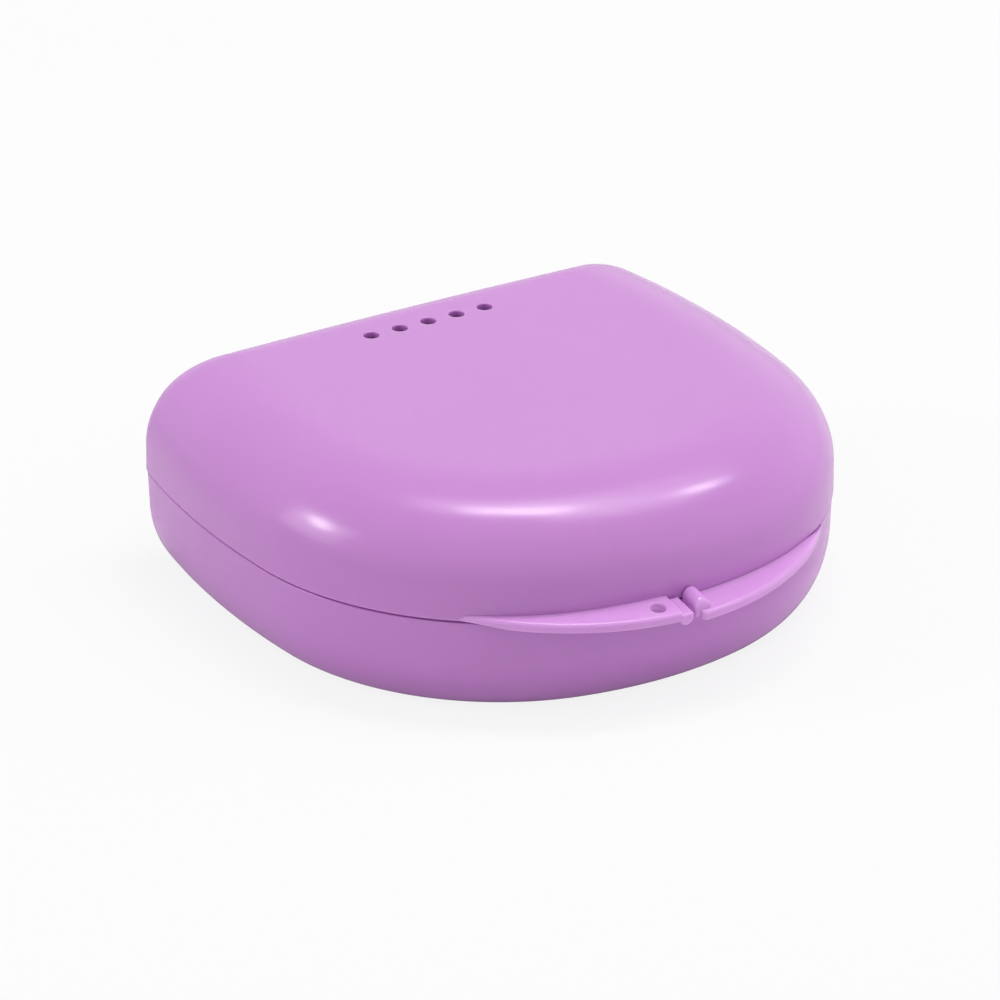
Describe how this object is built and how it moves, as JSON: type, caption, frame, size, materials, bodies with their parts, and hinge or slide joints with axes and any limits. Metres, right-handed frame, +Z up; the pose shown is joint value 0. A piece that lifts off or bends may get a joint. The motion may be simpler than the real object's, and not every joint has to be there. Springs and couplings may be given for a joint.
{
  "type": "orthodontic retainer case",
  "caption": "Shallow D-shaped moulded plastic case with a vented dome lid on a back hinge and a two-flange thumb latch at the front, for keeping a dental retainer.",
  "frame": {"origin": "on the base's flat rest face, in the middle plane, below the widest place of the outline", "axes": "+Z up, +X along the back edge to the right as seen from the latch, +Y towards the hinge, latch at -Y"},
  "size_m": [0.08, 0.0779, 0.0273],
  "materials": {
    "case_plastic": "satin-gloss moulded polypropylene, orchid purple",
    "pin_steel": "drawn stainless wire"
  },
  "bodies": {
    "base": {"base_shell": "case_plastic", "base_latch": "case_plastic", "hinge_pin_left": "pin_steel", "hinge_pin_right": "pin_steel"},
    "lid": {"lid_shell": "case_plastic", "lid_latch": "case_plastic"}
  },
  "joints": [
    {"name": "lid_hinge", "type": "hinge", "parent": "base", "child": "lid", "pos_m": [0, 0.027, 0.0131], "axis": [-1, 0, 0], "range_deg": [0, 170]}
  ]
}
